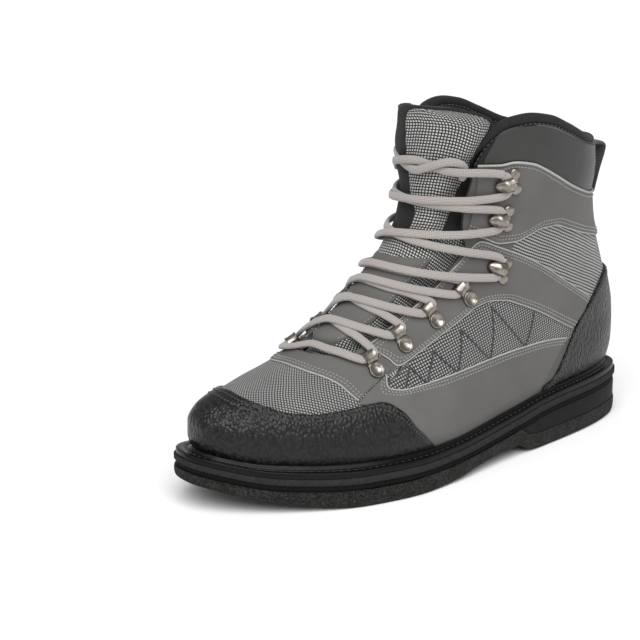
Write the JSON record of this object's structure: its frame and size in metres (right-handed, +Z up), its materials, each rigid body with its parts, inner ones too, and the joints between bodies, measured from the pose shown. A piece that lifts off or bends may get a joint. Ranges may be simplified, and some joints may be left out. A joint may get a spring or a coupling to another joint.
{
  "type": "wading boot",
  "caption": "Left felt-soled wading boot: lasted mesh and leather upper, padded tongue, riveted eyelets and hooks, crossed lace, pull loop at the back.",
  "frame": {"origin": "on the floor under the middle of the boot's box", "axes": "+Z up, -Y towards the toe, +X towards the outer side of the foot"},
  "size_m": [0.113, 0.32, 0.2077],
  "materials": {
    "felt": "mottled pressed felt",
    "rubber": "matte",
    "midsole": "matte, two tones",
    "welt": "satin",
    "insole": "knit",
    "mesh": "open woven mesh",
    "leather": "pebbled",
    "synthetic": "smooth matte",
    "neoprene": "fine knit face",
    "webbing": "ribbed",
    "metal": "nickel plated, satin",
    "lace": "round braid"
  },
  "bodies": {
    "root": {"ankle_panel_lateral": "synthetic", "ankle_panel_medial": "synthetic", "collar_binding": "neoprene", "drain_eyelet_1": "metal", "drain_eyelet_2": "metal", "eyelet_lateral_1": "metal", "eyelet_lateral_2": "metal", "eyelet_lateral_3": "metal", "eyelet_lateral_4": "metal", "eyelet_medial_1": "metal", "eyelet_medial_2": "metal", "eyelet_medial_3": "metal", "eyelet_medial_4": "metal", "eyestay_lateral": "synthetic", "eyestay_medial": "synthetic", "heel_counter": "leather", "heel_wedge": "rubber", "insole": "insole", "lace_bar": "lace", "lace_crossing_1": "lace", "lace_crossing_2": "lace", "lace_crossing_3": "lace", "lace_crossing_4": "lace", "lace_crossing_5": "lace", "lace_crossing_6": "lace", "lace_end_lateral": "lace", "lace_end_medial": "lace", "lock_hook_lateral": "metal", "lock_hook_medial": "metal", "midsole": "midsole", "outsole_felt": "felt", "pull_loop": "webbing", "quarter_lateral": "synthetic", "quarter_medial": "synthetic", "speed_hook_high_lateral": "metal", "speed_hook_high_medial": "metal", "speed_hook_low_lateral": "metal", "speed_hook_low_medial": "metal", "toe_cap": "leather", "tongue": "neoprene", "upper": "mesh", "vamp": "synthetic", "welt": "welt"}
  },
  "joints": []
}
